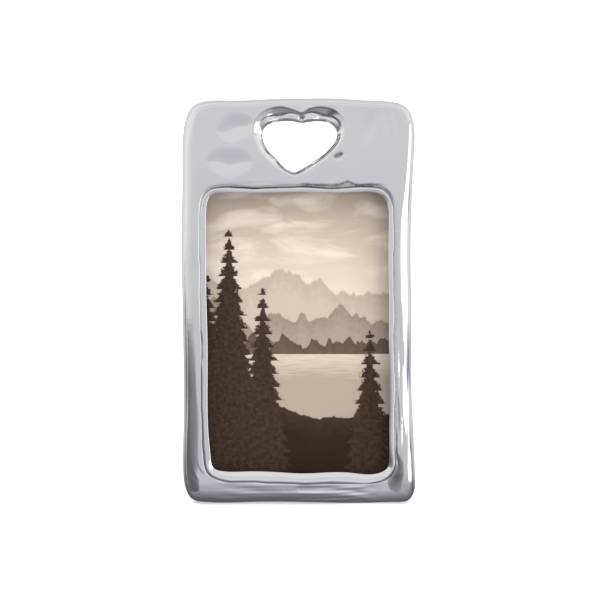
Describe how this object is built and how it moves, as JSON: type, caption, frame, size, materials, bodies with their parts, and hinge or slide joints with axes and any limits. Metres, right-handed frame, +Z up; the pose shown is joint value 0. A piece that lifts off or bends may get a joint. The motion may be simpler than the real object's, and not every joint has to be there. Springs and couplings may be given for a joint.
{
  "type": "photo frame",
  "caption": "Standing cast metal photo frame with a heart-shaped hole above its print window, turn-button back and easel leg.",
  "frame": {"origin": "middle of the footprint on the table, under the frame as it stands", "axes": "+Z up, +X to the viewer's right, -Y towards the viewer; the face leans back 14 degrees"},
  "size_m": [0.1246, 0.0714, 0.21],
  "materials": {
    "cast_aluminium": "hand-finished sand casting, polished",
    "clear_glass": "clear float glass",
    "print_paper": "satin photographic paper, sepia",
    "grey_card": "greyboard",
    "hardboard": "hardboard",
    "black_flock": "black flocked paper",
    "plated_steel": "bright nickel-plated pressings",
    "screw_steel": "zinc-plated"
  },
  "bodies": {
    "frame": {"cast_frame": "cast_aluminium", "glass_pane": "clear_glass", "photo_print": "print_paper", "filler_card": "grey_card", "back_panel_board": "hardboard", "back_panel_covering": "black_flock", "hinge_fixed_leaf": "plated_steel", "hinge_pin": "plated_steel", "hinge_rivets_panel": "plated_steel", "turn_button_screws": "screw_steel"},
    "easel_leg": {"leg_board": "hardboard", "leg_covering": "black_flock", "hinge_moving_leaf": "plated_steel", "hinge_rivets_leg": "plated_steel"},
    "turn_button_1": {"turn_button_1": "plated_steel"},
    "turn_button_2": {"turn_button_2": "plated_steel"},
    "turn_button_3": {"turn_button_3": "plated_steel"},
    "turn_button_4": {"turn_button_4": "plated_steel"}
  },
  "joints": [
    {"name": "leg_hinge", "type": "hinge", "parent": "frame", "child": "easel_leg", "pos_m": [0.00001, 0.00942, 0.11229], "axis": [-1, 0, 0], "range_deg": [0, 28]},
    {"name": "turn_button_1_turn", "type": "hinge", "parent": "frame", "child": "turn_button_1", "pos_m": [-0.05679, -0.01149, 0.04949], "axis": [0, 0.9703, -0.2419], "continuous": true},
    {"name": "turn_button_2_turn", "type": "hinge", "parent": "frame", "child": "turn_button_2", "pos_m": [-0.05679, 0.00786, 0.12711], "axis": [0, 0.9703, -0.2419], "continuous": true},
    {"name": "turn_button_3_turn", "type": "hinge", "parent": "frame", "child": "turn_button_3", "pos_m": [0.05621, -0.01149, 0.04949], "axis": [0, 0.9703, -0.2419], "continuous": true},
    {"name": "turn_button_4_turn", "type": "hinge", "parent": "frame", "child": "turn_button_4", "pos_m": [0.05621, 0.00786, 0.12711], "axis": [0, 0.9703, -0.2419], "continuous": true}
  ]
}
